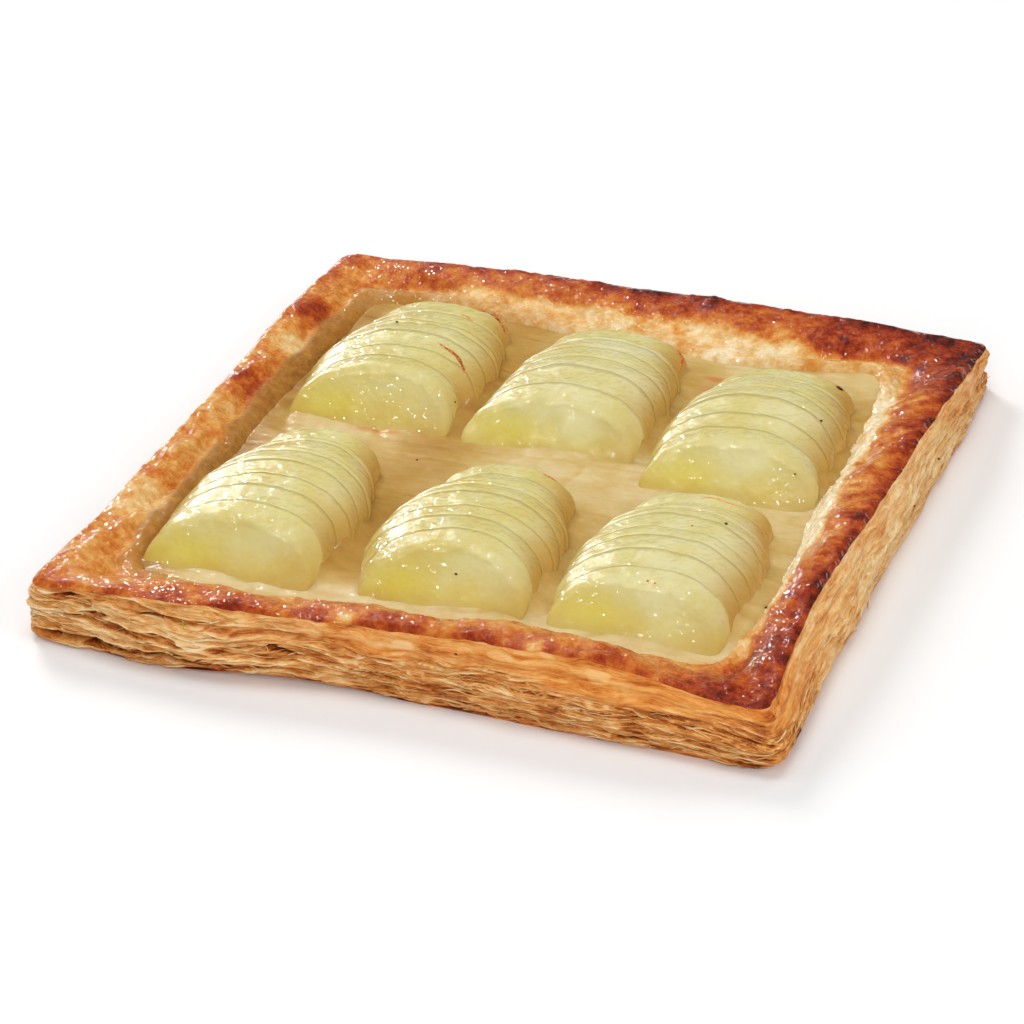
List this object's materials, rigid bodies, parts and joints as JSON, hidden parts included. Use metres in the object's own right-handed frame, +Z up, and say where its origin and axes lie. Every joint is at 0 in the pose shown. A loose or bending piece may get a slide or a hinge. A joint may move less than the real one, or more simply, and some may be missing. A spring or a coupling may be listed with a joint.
{
  "type": "pear tart",
  "caption": "Square puff-pastry tart with a browned raised rim, baked pastry cream and sliced pear halves fanned out under a thin glaze.",
  "frame": {"origin": "on the surface the tart rests on, under the middle of the tart", "axes": "+Z up; -Y towards the front side, where the flat faces of the fanned pears look; +X to the right"},
  "size_m": [0.2335, 0.2364, 0.0278],
  "materials": {
    "crust": "baked puff pastry, flaky at the sides and glossy brown on top",
    "cream": "baked pastry cream with a thin skin and glaze",
    "pear": "poached pear, moist and glazed"
  },
  "bodies": {
    "root": {"pastry_case": "crust", "pastry_cream": "cream", "pear_back_left_slice_1": "pear", "pear_back_left_slice_2": "pear", "pear_back_left_slice_3": "pear", "pear_back_left_slice_4": "pear", "pear_back_left_slice_5": "pear", "pear_back_left_slice_6": "pear", "pear_back_left_slice_7": "pear", "pear_back_left_slice_8": "pear", "pear_back_middle_slice_1": "pear", "pear_back_middle_slice_2": "pear", "pear_back_middle_slice_3": "pear", "pear_back_middle_slice_4": "pear", "pear_back_middle_slice_5": "pear", "pear_back_middle_slice_6": "pear", "pear_back_middle_slice_7": "pear", "pear_back_right_slice_1": "pear", "pear_back_right_slice_2": "pear", "pear_back_right_slice_3": "pear", "pear_back_right_slice_4": "pear", "pear_back_right_slice_5": "pear", "pear_back_right_slice_6": "pear", "pear_back_right_slice_7": "pear", "pear_back_right_slice_8": "pear", "pear_front_left_slice_1": "pear", "pear_front_left_slice_2": "pear", "pear_front_left_slice_3": "pear", "pear_front_left_slice_4": "pear", "pear_front_left_slice_5": "pear", "pear_front_left_slice_6": "pear", "pear_front_left_slice_7": "pear", "pear_front_left_slice_8": "pear", "pear_front_left_slice_9": "pear", "pear_front_middle_slice_1": "pear", "pear_front_middle_slice_2": "pear", "pear_front_middle_slice_3": "pear", "pear_front_middle_slice_4": "pear", "pear_front_middle_slice_5": "pear", "pear_front_middle_slice_6": "pear", "pear_front_middle_slice_7": "pear", "pear_front_middle_slice_8": "pear", "pear_front_right_slice_1": "pear", "pear_front_right_slice_2": "pear", "pear_front_right_slice_3": "pear", "pear_front_right_slice_4": "pear", "pear_front_right_slice_5": "pear", "pear_front_right_slice_6": "pear", "pear_front_right_slice_7": "pear", "pear_front_right_slice_8": "pear", "pear_front_right_slice_9": "pear"}
  },
  "joints": []
}
